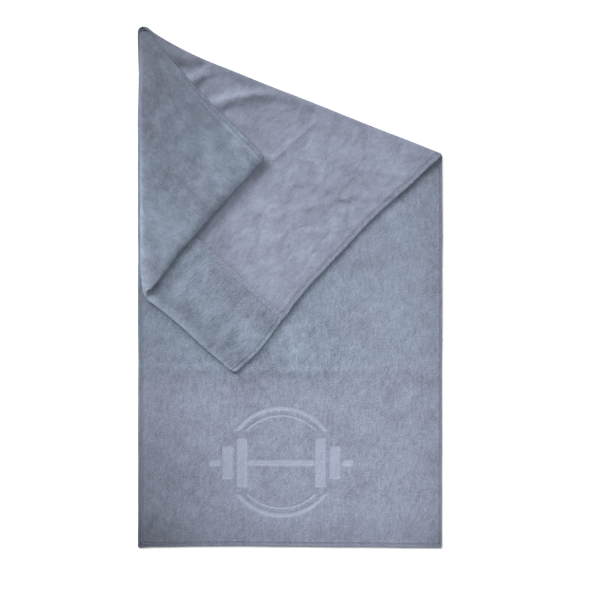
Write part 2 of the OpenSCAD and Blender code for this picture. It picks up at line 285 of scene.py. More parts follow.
# Painted shade and highlights on the flap: light and shade on its creases, the corner's and the pocket's cast
# shadows, and a few broad patches.
FLAP_PAINTED_SHADE = [
    (188, 612, 217, 644, 0.17, 3, 8), (24, 842, 70, 824, 0.16, 8, 9), (19, 424, 206, 643, -0.15, 2.5, 6),
    (315, 655, 392, 662, -0.08, 35, 35), (80, 777, 114, 797, -0.18, 5, 6), (68, 796, 106, 807, 0.2, 7, 8),
    (48, 446, 108, 492, 0.15, 8, 10), (40, 812, 76, 796, 0.17, 9, 10), (95, 765, 109, 777, 0.26, 3.5, 4.5),
    (121, 721, 171, 733, 0.15, 5, 8), (171, 733, 222, 745, 0.17, 5, 8), (222, 745, 258, 733, 0.13, 6, 8),
    (258, 738, 292, 722, 0.14, 6, 7), (118, 740, 206, 759, -0.13, 5, 4),
    (226, 645, 300, 712, -0.04, 3.5, 2.5), (100, 740, 122, 716, -0.08, 7, 7),
    (128, 346, 162, 314, -0.07, 7, 7), (138, 368, 142, 334, -0.1, 7, 6), (112, 796, 194, 768, 0.16, 11, 9),
    (60, 452, 92, 412, -0.06, 12, 12), (170, 372, 192, 384, -0.06, 9, 9),
]
# On the corner: a painted highlight by a crease, and two broad darker patches.
CORNER_PAINTED_SHADE = [
    (165, 664, 186, 650, -0.14, 5, 6), (120, 690, 150, 640, 0.06, 14, 14), (40, 520, 70, 600, 0.05, 20, 20),
]


def creased(x, y, creases):
    rise = 0.0
    for x0, y0, x1, y1, height, left, right in creases:
        rise = rise + height * crease(x, y, (x0, y0), (x1, y1), left, right)
    return rise


# The most that the lower part and the folded-back part stand above their flat places.
MAIN_LOOSE, FLAP_LOOSE = 0.9, 5.5


def main_height(x, y):
    """The loose height of the lower part, which stays under the flap."""
    rise = 0.35 * (1 + main_waves(x, y)) + 0.07 * (1 + main_ripples(x, y)) + creased(x, y, MAIN_CREASES)
    edge = np.minimum(np.minimum(x, WIDTH - x), y)
    return np.clip(rise, 0, MAIN_LOOSE) * (0.35 + 0.65 * smooth(edge, 4, 40))


def flap_height(x, y):
    """How far the folded-back part's upper face stands above its flat place."""
    rise = 0.45 * (1 + flap_waves(x, y)) + 0.2 * (1 + flap_ripples(x, y))
    rise = rise + creased(x, y, FLAP_CREASES) + creased(x, y, POCKET_CREASES)
    return np.clip(rise, 0, FLAP_LOOSE)


def bend(x, y, pivot, normal, reach, ring):
    """Points carried by a fold, seen from above, how far it has turned them, and their distance from its
    line before and after. ring is their distance from the bend's axis."""
    past = along_from(x, y, pivot, normal)
    turn = np.clip((past + reach) / (2 * reach), 0, 1) * math.pi
    now = np.where(np.abs(past) < reach, -reach + np.sin(turn) * ring, -np.abs(past))
    return x + (now - past) * normal[0], y + (now - past) * normal[1], turn, past, now


# How far the head fold's end by the corner fold is drawn in, over what length, and how much of it along.
HEAD_DRAWN, HEAD_REACH, HEAD_ALONG = 5.5, 32.0, 0.95
# The radius of that end, of the corner's tip and of the slanting fold's right end.
HEAD_ROUND, TIP_ROUND, RIGHT_ROUND = 2.5, 8.0, 4.0


def lay(across, up, level, corner=False):
    """Where the folded towel carries points of the open one, in towel millimetres.
    The slanting fold comes first, and where corner is set the corner fold comes after it."""
    across, up, level = np.broadcast_arrays(*(np.asarray(v, float) for v in (across, up, level)))
    across, up = round_cut(across, up)
    drift_across, drift_up = edge_drift(across, up)
    across, up = across + drift_across, up + drift_up
    ring = MAIN_REACH - level
    x, y, turn, past, _ = bend(across, up, MAIN_PIVOT, PAST_FOLD, MAIN_REACH, ring)
    z = MAIN_REACH - np.cos(turn) * ring
    past_main = (turn > math.pi / 2) * 1.0
    past_corner = np.full(np.shape(x), -1.0)
    if corner:
        x, y, z, past_corner = fold_corner(x, y, z)
    else:
        z = z + loose_height(x, y, past, past_main, level, LENGTH - up)
    right = right_of_fold(x, y)
    head_gap = HEAD_END - up
    drawn_in = inset(head_gap, HEAD_ROUND) + HEAD_DRAWN * np.clip(1 - head_gap / HEAD_REACH, 0, 1) ** 2
    drawn_in = drawn_in * (1 - smooth(right, 2, 26)) * past_main
    y = y + HEAD_ALONG * past_corner * drawn_in
    below_fold = -past_fold(x, y)
    if corner:
        drawn_in = drawn_in + inset(below_fold - TIP_CLEAR, TIP_ROUND) * (1 - smooth(right, 0, 14))
    x = x + drawn_in
    x = x - inset(below_fold, RIGHT_ROUND) * smooth(x, WIDTH - 30, WIDTH)
    x, y = settle(across, up, x, y, past_main, past_corner)
    return np.stack([x, y, z], -1)


# How far the long edge is drawn in and lies out, and the head fold droops and rises.
EDGE_IN, EDGE_OUT, EDGE_STEP, HEAD_DROOP, HEAD_RISE = 6.8, 6.6, 1.2, 8.0, 2.4


def edge_drift(across, up):
    """How the folded-back part's long edge and head fold stray from straight lines, in the plane of the
    cloth."""
    drawn_in = EDGE_IN * smooth(up, 690, 830) * (1 - smooth(up, 960, 1060))
    out = EDGE_OUT * bump(up, 1105, 50) + EDGE_STEP * bump(up, MOUTH_UP - 5, 8)
    out = out - EDGE_STEP * bump(up, MOUTH_UP + 8, 8)
    near_side = smooth(across, WIDTH - 120, WIDTH - 5)
    near_head = smooth(up, LENGTH - 70, LENGTH)
    inside = bend_end(up) - across
    drooping = HEAD_DROOP * smooth(inside, -16, 6) * (1 - smooth(inside, 20, 90))
    return (out - drawn_in) * near_side, (drooping - HEAD_RISE * bump(across, 365, 60)) * near_head


def right_of_fold(x, y):
    return -along_from(x, y, CORNER_PIVOT, PAST_CORNER)


def loose_height(x, y, past, past_main, level, head_gap):
    """How far the laid cloth stands above its flat place. The folded-back part's lower face rises less."""
    still = smooth(np.abs(past), MAIN_REACH, MAIN_REACH + 22)
    near_corner = crease(x, y, (7, 852), (213, 637), 30, 30)
    free = np.maximum(smooth(right_of_fold(x, y), 6, 130), 0.85 * near_corner)
    upper = flap_height(x, y) * free + 0.9 * np.exp(-head_gap / 18) * (1 - smooth(x, 90, 140)) * free
    share = np.clip(1 - level / CLOTH, 0, 1)
    on_flap = np.minimum(upper, 1.6) * (1 - share) + upper * share
    return still * np.where(past_main > 0, on_flap, main_height(x, y))


def fold_corner(x, y, z):
    """The corner fold: where it carries points laid by the slanting fold, and -1 before it to 1 past it."""
    above = z - FLAP_REAR
    loft = CORNER_LOFT + CORNER_RISE * along_from(x, y, CORNER_PIVOT, DOWN_CORNER)
    reach = loft + CLOTH
    x, y, turn, past, now = bend(x, y, CORNER_PIVOT, PAST_CORNER, reach, loft - above)
    rise = TILT * -now * smooth(turn, math.pi / 2, math.pi)
    loose = 0.5 * corner_waves(x, y) + 0.2 * corner_ripples(x, y)
    loose = loose + creased(x, y, CORNER_CREASES) * (above < 0)
    loose = loose * smooth(past, reach, reach + 40)
    z = FLAP_REAR + loft - np.cos(turn) * (loft - above) + rise + loose
    return x, y, z, 2 * turn / math.pi - 1


def head_swell(across, run, beta, corner):
    """How much fuller than its own thickness the cloth stands at the head fold."""
    gap = np.maximum(np.abs(run - LENGTH - ARC / 2) - ARC / 2, 0)
    near = bump(gap, 0, 8.0)
    swell = (0.35 + 0.55 * smooth(beta, 0, math.pi)) * near
    if not corner:
        return swell
    away = smooth(bend_end(LENGTH - gap) - across, 0, 55)
    roll = 3.6 * (1 - np.clip(1 - gap / 15.0, 0, 1) ** 2) * (1 - smooth(gap, 15, 120)) * (run < LENGTH)
    return swell * (1 - away) + away * (0.6 * near + roll)


def lay_cloth(across, run, height, corner=False):
    """The same as lay for a point of the cut. height is measured from the cloth's middle to its front."""
    beta = np.clip((run - LENGTH) / ARC, 0, 1) * math.pi
    ring = CLOTH / 2 + height + head_swell(across, run, beta, corner)
    over_head = np.minimum(run, LENGTH) + np.sin(beta) * ring
    up = np.where(run > LENGTH + ARC, 2 * LENGTH + ARC - run, over_head)
    return lay(across, up, np.cos(beta) * ring, corner)


# ---- the pressed decoration: a dumbbell across two open arcs ----

MARK_MIDDLE = (236.0, 142.0)
MARK_R = 93.0
MARK_LINE = 7.0
MARK_BAR = 240.0
MARK_OPEN = MARK_R * 0.56
MARK_WEIGHT = MARK_BAR * 0.075
MARK_ROUND = 4
# The middle, width and height of the grip, the two weights and the bar's end.
MARK_BOXES = [
    (0, MARK_BAR * 0.46, MARK_WEIGHT * 0.6), (MARK_BAR * 0.27, MARK_WEIGHT, MARK_R * 0.88),
    (MARK_BAR * 0.37, MARK_WEIGHT, MARK_R * 0.6), (MARK_BAR * 0.46, MARK_BAR * 0.08, MARK_WEIGHT * 0.6),
]
MARK_RINGS = [(MARK_R, MARK_LINE), (MARK_R - 2 * MARK_LINE, MARK_LINE / 2)]


def box_distance(x, y, width, height):
    dx = np.abs(x) - width / 2 + MARK_ROUND
    dy = np.abs(y) - height / 2 + MARK_ROUND
    outside = np.hypot(np.maximum(dx, 0), np.maximum(dy, 0))
    return outside + np.minimum(np.maximum(dx, dy), 0) - MARK_ROUND


def ring_distance(x, y, outer, line):
    ring = np.abs(np.hypot(x, y) - (outer - line / 2)) - line / 2
    return np.maximum(ring, MARK_OPEN - np.abs(y))


def mark_share(across, up):
    """1 inside the decoration's lines and 0 outside them."""
    x, y = np.abs(across - MARK_MIDDLE[0]), up - MARK_MIDDLE[1]
    shapes = [ring_distance(x, y, outer, line) for outer, line in MARK_RINGS]
    shapes += [box_distance(x - middle, y, width, height) for middle, width, height in MARK_BOXES]
    return 1 - smooth(np.min(shapes, axis=0), -1.2, 0.8)


# ---- meshes ----


def foot_dark(across, up, hem):
    """How dark the foot part is, with painted light in it: painted falloff of light towards the lower left,
    left side and foot, painted shade on the rounded right edge, a painted highlight on the left edge beside
    the corner's fold, and painted shade in the stitch groove. hem is the distance from its nearest hemmed
    edge.
    """
    # Painted falloff of light: darker towards the lower left, the left side and the foot.
    low_left = bump(across, 0, 150) * (1 - smooth(up, 30, 330))
    dark = 0.02 + 0.34 * low_left + 0.1 * bump(across, 0, 70) + 0.14 * (1 - smooth(up, 0, 70))
    dark += 0.12 * smooth(across, 430, 500) + 0.08 * smooth(up, 330, 560)
    dark += 0.08 * smooth(up, 230, 290) * (1 - smooth(across, 200, 380))
    # Painted shade on the rounded right edge, and a painted highlight on the left edge beside the corner's
    # fold.
    dark += 0.06 * smooth(across, 491, 496) * (1 - smooth(up, 250, 450))
    dark -= 0.34 * (1 - smooth(across, 3, 8)) * smooth(up, 425, 470) * (1 - smooth(up, 800, 840))
    # Painted shade in the stitch groove, where the pile is also pressed, and a darker hem.
    dark += 0.16 * bump(hem, ROW_INSET, 2.0) + 0.05 * (1 - smooth(hem, ROW_INSET, HEM))
    return dark + creased(across, up, MAIN_PAINTED_SHADE)


def flap_dark(run, past, x, y):
    """How dark the flap is, at x, y on the folded towel and that far past the slanting fold: lighter in the
    middle and darker to the left and by the fold, with a painted shadow along the pocket's mouth and a
    lighter band over the mouth's hem.
    """
    dark = 0.19 - 0.15 * bump(x, 226, 85) * bump(y, 508, 85)
    dark += 0.1 * (1 - smooth(x, 60, 210)) + 0.05 * (1 - smooth(past, 10, 60))
    # A painted shadow of the pocket mouth's edge, and a lighter band over its hem.
    return dark + 0.1 * bump(run, MOUTH_UP - 2, 1.8) - 0.05 * bump(run, MOUTH_UP + 4.5, 5)


def corner_dark(across, up, run):
    """How dark the turned-back corner is: darker towards its tip, lighter towards its free end, with painted
    shade along the head fold's edge and a painted highlight on the ridge and edge of its hem.
    """
    dark = 0.36 - 0.18 * smooth(run, 960, LENGTH) - 0.03 * smooth(across, 120, 280)
    dark += 0.05 * (1 - smooth(run, 880, 960)) + 0.06 * bump(across, 0, 55) * smooth(run, 930, 1000)
    dark -= 0.13 * bump(across, 0, 40) * smooth(run, 1065, 1125)
    # A painted highlight on the hem's ridge and edge, and painted shade along the head fold's edge.
    ridge = 0.22 * bump(across, 9.2, 2.0) + 0.1 * (1 - smooth(across, 2, 6))
    dark += 0.1 * np.exp(-np.maximum(LENGTH - run, 0) / 5.0) - ridge * smooth(run, 930, 1010)
    place = mirrored(*folded_plan(across, up), CORNER_PIVOT, PAST_CORNER)
    return dark + creased(*place, CORNER_PAINTED_SHADE)


def tones(across, run, rear_face):
    """How light and how green the cloth is, and how much its pile varies, on each stretch of the towel.
    The lightness is the cloth's own tone together with painted shadow, shade and highlights.
    """
    up = up_of(run)
    past = past_fold(across, up)
    on_flap = smooth(past, -12, 12)
    on_corner = on_flap * smooth(bend_start(up) - across, -4, 10)
    only_flap = on_flap - on_corner
    pocket = smooth(run, LENGTH, LENGTH + ARC)
    x, y = folded_plan(across, up)

    def joined(main, flap, corner, hood):
        over = flap * (1 - pocket) + hood * pocket
        return main * (1 - on_flap) + over * only_flap + corner * on_corner

    hem = np.minimum(np.minimum(across, WIDTH - across), run)
    painted_flap_shade = creased(x, y, FLAP_PAINTED_SHADE)
    on_rear = flap_dark(run, past, x, y) + painted_flap_shade
    dark = joined(foot_dark(across, up, hem), on_rear, corner_dark(across, up, run), 0.13 + painted_flap_shade)
    # Painted shadow in the gap around the corner's tip, and painted shade on the slanting fold's rim there.
    near_tip = bump(across, 9, 17) * (1 - on_corner) * smooth(up, 780, 846)
    dark += near_tip * (0.27 + 0.4 * smooth(past, 3.5, 6))
    # A painted highlight along the head fold's rim, and darker cloth a little past it.
    gap = np.abs(run - LENGTH - ARC / 2)
    dark -= (0.26 * np.exp(-gap / 5.0) - 0.15 * bump(gap, 20, 17)) * only_flap
    # A painted highlight along the corner fold's rim, stronger towards the head.
    from_bend = np.maximum(bend_end(up) - across, 0)
    dark -= (0.08 + 0.27 * smooth(run, 900, 1100)) * np.exp(-from_bend / 6.0) * on_corner
    green_main = smooth(up, 235, 330) * (1 - 0.5 * smooth(across, 260, 430))
    green_corner = 0.5 + 0.5 * smooth(run, 900, 1100)
    green = joined(green_main, np.where(rear_face, 0.0, 0.4), green_corner, 0.95)
    under_pocket = bump(across, 230, 110) * bump(up, 330, 60)
    broad = joined(1.2 + 1.6 * under_pocket, 1.5, 2.5, 2.1)
    fine = joined(1.12 + 0.35 * under_pocket, 0.72, 0.75, 1.1)
    return {"tone_and_painted_light": 1 - dark, "green": green, "broad": broad, "fine": fine}


def shell(name, front, rear, flat, closed, materials, mark=None):
    """A closed cloth from two grids of points, the front and the rear face.
    closed says which of the grid's sides (first row, last row, first column, last column) have a rounded
    edge, where the two faces share their points; the others get a flat wall."""
    rows, columns = front.shape[:2]
    count = rows * columns
    top = np.arange(count).reshape(rows, columns)
    shared = np.zeros((rows, columns), bool)
    sides = [(0, slice(None)), (-1, slice(None)), (slice(None), 0), (slice(None), -1)]
    for side, is_closed in zip(sides, closed):
        shared[side] |= is_closed
    low = np.where(shared, top, 0)
    low[~shared] = count + np.arange((~shared).sum())
    points = np.concatenate([front.reshape(-1, 3), rear[~shared]])
    uv = np.concatenate([flat.reshape(-1, 2), flat[~shared]])
    up = np.stack([top[:-1, :-1], top[:-1, 1:], top[1:, 1:], top[1:, :-1]], -1).reshape(-1, 4)
    down = np.stack([low[:-1, :-1], low[1:, :-1], low[1:, 1:], low[:-1, 1:]], -1).reshape(-1, 4)
    walls = []
    rim = np.zeros(len(points), bool)
    for side, is_closed, flip in zip(sides, closed, (True, False, False, True)):
        if is_closed:
            continue
        a, b = top[side], low[side]
        wall = np.stack([a[:-1], a[1:], b[1:], b[:-1]], -1)
        keep = ~((a[:-1] == b[:-1]) & (a[1:] == b[1:]))
        walls += (wall[:, ::-1] if flip else wall)[keep].tolist()
        rim[a] = True
        rim[b] = True
    faces = [*up.tolist(), *down.tolist(), *[unique(face) for face in walls]]
    slots = np.repeat([0, 1, 0], [len(up), len(down), len(walls)])
    attributes = tones(uv[:, 0], uv[:, 1], np.arange(len(points)) >= count)
    if mark is not None:
        attributes["mark"] = np.concatenate([mark.ravel(), np.zeros(len(points) - count)])
    return mesh_object(name, points, faces, slots, materials, uv, rim, attributes)


def unique(face):
    return [v for k, v in enumerate(face) if v not in face[:k]]


def mesh_object(name, points, faces, slots, materials, uv, rim, attributes):
    mesh = bpy.data.meshes.new(name)
    mesh.from_pydata((points * MM + ORIGIN).tolist(), [], faces)
    for material in materials:
        mesh.materials.append(material)
    slots = np.minimum(slots, len(materials) - 1)
    mesh.polygons.foreach_set("material_index", slots.astype(np.int32))
    mesh.polygons.foreach_set("use_smooth", np.ones(len(mesh.polygons), bool))
    corner_vertices = np.zeros(len(mesh.loops), np.int32)
    mesh.loops.foreach_get("vertex_index", corner_vertices)
    layer = mesh.uv_layers.new(name="cut")
    layer.data.foreach_set("uv", (uv[corner_vertices] * MM).ravel())
    if rim.any():
        ends = np.zeros(len(mesh.edges) * 2, np.int32)
        mesh.edges.foreach_get("vertices", ends)
        ends = ends.reshape(-1, 2)
        mesh.edges.foreach_set("use_edge_sharp", rim[ends[:, 0]] & rim[ends[:, 1]])
    for key, values in attributes.items():
        attribute = mesh.attributes.new(key, "FLOAT", "POINT")
        attribute.data.foreach_set("value", np.asarray(values, np.float32))
    mesh.update()
    piece = bpy.data.objects.new(name, mesh)
    bpy.context.scene.collection.objects.link(piece)
    return piece


# Distances of the grid's lines from an edge, close over its rounding and its hem.
EDGE_STEPS = np.array([0, 0.12, 0.4, 0.8, 1.3, 2.2, 3.6, 4.8, 5.6, 6.2, 7.0, 8.0, 9.2, 10.2, 11.6, 14.5])
INSET = EDGE_STEPS[-1]


def spread(start, end, shares):
    """Places from start to end: close steps by both ends, and the shares between them."""
    steps = np.sign(end - start) * EDGE_STEPS * min(1, abs(end - start) / (4 * INSET))
    first, last = start + steps, end - steps[::-1]
    inner = first[-1] + (last[0] - first[-1]) * shares
    return np.concatenate([first, inner, last])


def steps_between(marks, spacings):
    """Places along a line whose spacing changes at the marks, without the first and the last place."""
    out = []
    for low, high, step in zip(marks[:-1], marks[1:], spacings):
        count = max(1, round((high - low) / step))
        out.extend(low + (high - low) * np.arange(count) / count)
    return np.array(out[1:])


# The grid's steps, in millimetres: wide on plain cloth and fine over the decoration.
PLAIN_STEP, MARK_STEP, POCKET_STEP, CORNER_STEP = 4.5, 1.6, 3.4, 4
MARK_LEFT = MARK_MIDDLE[0] - MARK_BAR / 2 - 4
MARK_RIGHT = MARK_MIDDLE[0] + MARK_BAR / 2 + 4
ACROSS_MARKS = [INSET, MARK_LEFT, MARK_RIGHT, WIDTH - INSET]
ACROSS = steps_between(ACROSS_MARKS, [PLAIN_STEP, MARK_STEP, PLAIN_STEP])
ACROSS = (ACROSS - INSET) / (WIDTH - 2 * INSET)
UP_LEVEL = 330.0
UP_STEPS = steps_between([INSET, 45, 240, UP_LEVEL], [3.5, MARK_STEP, 4])
UP_LOW = np.concatenate([EDGE_STEPS, UP_STEPS, [UP_LEVEL]])
HEAD_TURNS = (1 / 6, 1 / 3, 1 / 2, 2 / 3, 5 / 6)
SLANT_ROWS, FLAP_ROWS = 112, 124
# Further from an edge than anything that depends on it.
FAR = 99.0
# How deep the thread row, the hem's inner edge and the decoration are pressed into the front.
ROW_GROOVE, HEM_GROOVE, MARK_GROOVE = 0.6, 0.12, 0.65


def rounded(edge, half):
    """Half thickness of a cloth near its edge, as a share of the full half."""
    inside = np.clip(edge / half, 0, 1)
    return np.sqrt(np.clip(1 - (1 - inside) ** 2, 0, 1))


def cloth_faces(hem_edge, free_edge, mark=0.0, groove=1.0):
    """Heights of the front and the rear face over the cloth's middle.
    hem_edge is the distance from a hemmed edge, free_edge from any edge that is rounded."""
    hem = 1 - smooth(hem_edge, HEM - 0.6, HEM + 0.9)
    front = CLOTH / 2 + MARGIN_RISE * hem
    rear = -CLOTH / 2 + (STRIP + 0.04) * hem
    front = front - ROW_GROOVE * groove * bump(hem_edge, ROW_INSET, 1.3)
    front = front - HEM_GROOVE * bump(hem_edge, HEM + 0.6, 0.8) - MARK_GROOVE * mark
    middle, half = (front + rear) / 2, (front - rear) / 2
    half = half * rounded(free_edge, np.maximum(half, 0.5))
    return middle + half, middle - half


def level_row(line, run):
    return line, np.full(line.shape, run)


def foot_rows():
    """The towel's grid on the open cut as rows of (across, run): the foot part."""
    line = spread(0, WIDTH, ACROSS)
    start = fold_up(line) - MAIN_REACH / DOWN_FOLD[0]
    slanting = [(line, UP_LEVEL + f * (start - UP_LEVEL)) for f in np.linspace(0, 1, SLANT_ROWS)[1:]]
    return [level_row(line, up) for up in UP_LOW] + slanting


def bend_rows():
    """The same over the slanting fold's bend, whose rows shorten to the left end of the corner's."""
    rows = []
    left_end = float(bend_start(fold_up(6.0) + 7))
    for turn in range(20, 181, 20):
        past = MAIN_REACH * (turn / 90 - 1) / DOWN_FOLD[0]
        line = spread(left_end * turn / 180, WIDTH, ACROSS)
        rows.append((line, fold_up(line) + past))
    return rows


def flap_rows(last_bend):
    """The same from the bend to the head fold."""
    first, first_up = last_bend
    head = spread(bend_start(LENGTH), WIDTH, ACROSS)
    shares = np.concatenate([np.linspace(0, 1, FLAP_ROWS)[1:-1], [0.994, 0.9975, 1]])
    return [(first + f * (head - first), first_up + f * (LENGTH - first_up)) for f in shares]


def pocket_gaps(step):
    """Distances from the head fold of the pocket's rows."""
    steps = steps_between([1.4, HOOD - INSET], [step])
    return np.concatenate([[0, 0.6, 1.4], steps, HOOD - EDGE_STEPS[::-1]])


def pocket_rows():
    """The same from the head fold to the pocket's mouth."""
    places = [(0, ARC * turn) for turn in HEAD_TURNS] + [(gap, ARC + gap) for gap in pocket_gaps(POCKET_STEP)]
    return [level_row(spread(bend_start(LENGTH - gap), WIDTH, ACROSS), LENGTH + run) for gap, run in places]


def towel_cloth(materials):
    rows = foot_rows() + bend_rows()
    rows += flap_rows(rows[-1])
    rows += pocket_rows()
    across, run = np.array(rows).transpose(1, 0, 2)
    hood = smooth(run, LENGTH, LENGTH + ARC)
    left = np.where(past_fold(across, run) < MAIN_REACH, across, FAR)
    sides = np.minimum(left, WIDTH - across)
    mark = mark_share(across, run) * (run < UP_LEVEL)
    free = np.minimum(sides, np.minimum(run, CUT_LENGTH - run))
    front, rear = cloth_faces(np.minimum(sides, run) + 20 * hood, free, mark)
    side = WIDTH - across
    front = front + hood * (0.25 * bump(side, 2.8, 2.2) - 0.8 * bump(side, ROW_INSET + 0.3, 1.4))
    flat = np.stack([across, run], -1)
    faces = lay_cloth(across, run, front), lay_cloth(across, run, rear)
    return shell("towel_cloth", *faces, flat, (True, True, False, True), materials, mark)


# Where along the corner's bend and its flat part the grid's lines lie, and along the flat part's length.
BEND_SHARES = np.array([0, 22.5, 45, 67.5, 84, 96, 112.5, 135, 157.5]) / 180
FLAT_SHARES = np.linspace(0, 1, 60)[1:-1]
TIP_SHARES = [0, 0.0006, 0.002, 0.004, 0.007, 0.012, *np.linspace(0.02, 1, 72)[:-1], 0.9965, 1.0]


def corner_cloth(materials):
    """The corner's bend and the corner with its pocket, joined to the towel's cloth where the bend starts."""
    tip_left = float(folded_plan(*(CORNER_PIVOT[:2] + (TIP_CLEAR + 1) * DOWN_CORNER))[1])
    tip_right = MAIN_PIVOT[1] + 23.0
    ends = [(tip_left + f * (LENGTH - tip_left), tip_right + f * (LENGTH - tip_right)) for f in TIP_SHARES]
    ends += [(LENGTH + ARC * turn,) * 2 for turn in HEAD_TURNS]
    ends += [(LENGTH + ARC + gap,) * 2 for gap in pocket_gaps(CORNER_STEP)]
    across, run = [], []
    for left_run, right_run in ends:
        left_up = float(up_of(left_run))
        start, end = bend_start(left_up), bend_end(left_up)
        line = np.concatenate([start + (end - start) * BEND_SHARES, spread(end, 0, FLAT_SHARES)])
        across.append(line)
        run.append(right_run + (left_run - right_run) * line / start)
    across, run = np.array(across), np.array(run)
    hood = smooth(run, LENGTH, LENGTH + ARC)
    tip_edge = [f * (LENGTH - tip_left) for f in TIP_SHARES] + [FAR] * (len(ends) - len(TIP_SHARES))
    free = np.minimum(np.minimum(across, CUT_LENGTH - run), np.array(tip_edge)[:, None])
    shown = smooth(run, 940, 1000) * (1 - hood)
    front, rear = cloth_faces(across + 20 * hood, free, 0.0, shown)
    front = front + 0.9 * shown * bump(across, 9.6, 1.8)
    flat = np.stack([across, run], -1)
    faces = lay_cloth(across, run, front, True), lay_cloth(across, run, rear, True)
    return shell("corner_cloth", *faces, flat, (True, True, False, True), materials)


# ---- hem strips: narrow bands on the rear face, or over the pocket's mouth ----

BAND_STEPS = np.array([0, 0.08, 0.25, 0.5, 1.2, 2.6, 4, 5.2, 6.0, 6.8, 7.6, 8.2, 8.5, 8.75, 8.92, 9.0])
BAND_INSIDE = np.minimum(BAND_STEPS, HEM - BAND_STEPS)


def band(name, across, up, low, high, corner=False, inside=BAND_INSIDE):
    """A narrow closed strip. across and up are grids whose columns go over the strip's width, low and high
    are its levels, and inside is each column's distance from the strip's nearer long edge."""
    across, up = np.broadcast_arrays(across, up)
    middle, half = (low + high) / 2, (high - low) / 2
    half_here = half * rounded(np.broadcast_to(inside, across.shape), half)
    faces = [lay(across, up, middle + side * half_here, corner) for side in (1, -1)]
    return shell(name, *faces, np.stack([across, up], -1), (False, False, True, True), [hem_cloth])


def side_band(name, side, ups, corner=False):
    """A side hem's strip: side is the towel's edge, 0 or WIDTH, and ups its places up the towel."""
    across = side + (BAND_STEPS if side == 0 else -BAND_STEPS)
    up = ups[:, None]
    groove = 0.35 * bump(BAND_STEPS, ROW_INSET, 1.0)
    puff = 0.45 * bump(BAND_STEPS, 2.8, 2.4) + 0.2 * bump(BAND_STEPS, 8.0, 0.8)
    shown = smooth(up, fold_up(side), fold_up(side) + 20) * (not corner)
    return band(name, across[None, :], up, -0.15 + (groove - puff) * shown, STRIP, corner)


def evenly(low, high, step):
    return np.linspace(low, high, max(2, round((high - low) / step)))


def foot_band():
    across = evenly(0.5, WIDTH - 0.5, 4)[:, None]
    return band("foot_hem_strip", across, BAND_STEPS[None, ::-1], 0.0, STRIP, inside=BAND_INSIDE[::-1])


def left_band():
    return side_band("left_hem_strip", 0, evenly(HEM + 0.3, fold_up(0) - MAIN_REACH - 1, 5))


def right_band():
    turns = fold_up(WIDTH) + MAIN_REACH / DOWN_FOLD[0] * np.linspace(-1.6, 1.6, 17)
    below, above = evenly(HEM + 0.3, turns[0] - 1, 5), evenly(turns[-1] + 1, LENGTH - 0.6, 4)
    return side_band("right_hem_strip", WIDTH, np.concatenate([below, turns, above]))


def corner_side_band():
    return side_band("corner_hem_strip", 0, evenly(MAIN_PIVOT[1] + 25, LENGTH - 0.6, 4), True)


def mouth_band(name, left, right, corner=False):
    """The pocket's mouth hem: a strip on the pocket's outer face, which is below the open towel."""
    groove = sum(0.45 * bump(BAND_STEPS, row, 0.8) for row in MOUTH_ROWS)[None, :]
    up = (MOUTH_UP + BAND_STEPS)[None, :]
    return band(name, evenly(left, right, 4)[:, None], up, -CLOTH - 0.8 + groove, -CLOTH + 0.05, corner)


# ---- sewing thread ----

# A stitch's rings: their place from its middle to its ends, and their size.
STITCH_PROFILE = [(-1.0, 0.25), (-0.72, 0.8), (-0.2, 1.0), (0.35, 1.0), (0.8, 0.75), (1.0, 0.2)]
STITCH_SIDES = 6
STITCH_WIDTH, STITCH_RISE = 0.42, 0.3
STITCH_PITCH, STITCH_SHARE = 3.3, 0.82
STITCH_SLANT, STITCH_DIP = 0.08, 0.12


def stitches(name, starts, ends, level, outward, corner=False):
    """One thread row: each stitch is a small bead from a start to an end point on the open towel."""
    rng = np.random.default_rng(len(name) + len(starts))
    along = ends - starts
    along_u = along / np.linalg.norm(along, axis=1, keepdims=True)
    side_u = np.stack([-along_u[:, 1], along_u[:, 0]], -1)
    side_u = side_u + STITCH_SLANT * rng.normal(size=(len(starts), 1)) * along_u
    middle = (starts + ends) / 2
    rings = []
    for place, size in STITCH_PROFILE:
        for k in range(STITCH_SIDES):
            angle = 2 * math.pi * k / STITCH_SIDES
            at = middle + along / 2 * place + side_u * STITCH_WIDTH * size * math.cos(angle)
            height = STITCH_RISE * size * math.sin(angle) - STITCH_DIP * place**2
            rings.append(lay(at[:, 0], at[:, 1], level + outward * height, corner))
    per = len(rings)
    bead = []
    for r in range(len(STITCH_PROFILE) - 1):
        for k in range(STITCH_SIDES):
            a, b = r * STITCH_SIDES + k, r * STITCH_SIDES + (k + 1) % STITCH_SIDES
            bead.append([a, a + STITCH_SIDES, b + STITCH_SIDES, b])
    bead += [list(range(STITCH_SIDES)), list(range(per - 1, per - STITCH_SIDES - 1, -1))]
    if outward < 0:
        bead = [face[::-1] for face in bead]
    faces = [[s * per + v for v in face] for s in range(len(starts)) for face in bead]
    flat = np.repeat(middle, per, axis=0)
    points = np.stack(rings, 1).reshape(-1, 3)
    tone = tones(flat[:, 0], flat[:, 1], outward < 0)
    no_rim = np.zeros(len(points), bool)
    return mesh_object(name, points, faces, np.zeros(len(faces)), [thread], flat, no_rim, tone)


def row_points(start, end):
    """Starts and ends of the stitches on a straight row of the open towel."""
    start, end = np.array(start, float), np.array(end, float)
    length = np.linalg.norm(end - start)
    count = int(length // STITCH_PITCH)
    along = (end - start) / length
    at = (length - count * STITCH_PITCH) / 2 + STITCH_PITCH * np.arange(count)[:, None]
    return start + at * along, start + (at + STITCH_PITCH * STITCH_SHARE) * along


# ---- materials ----


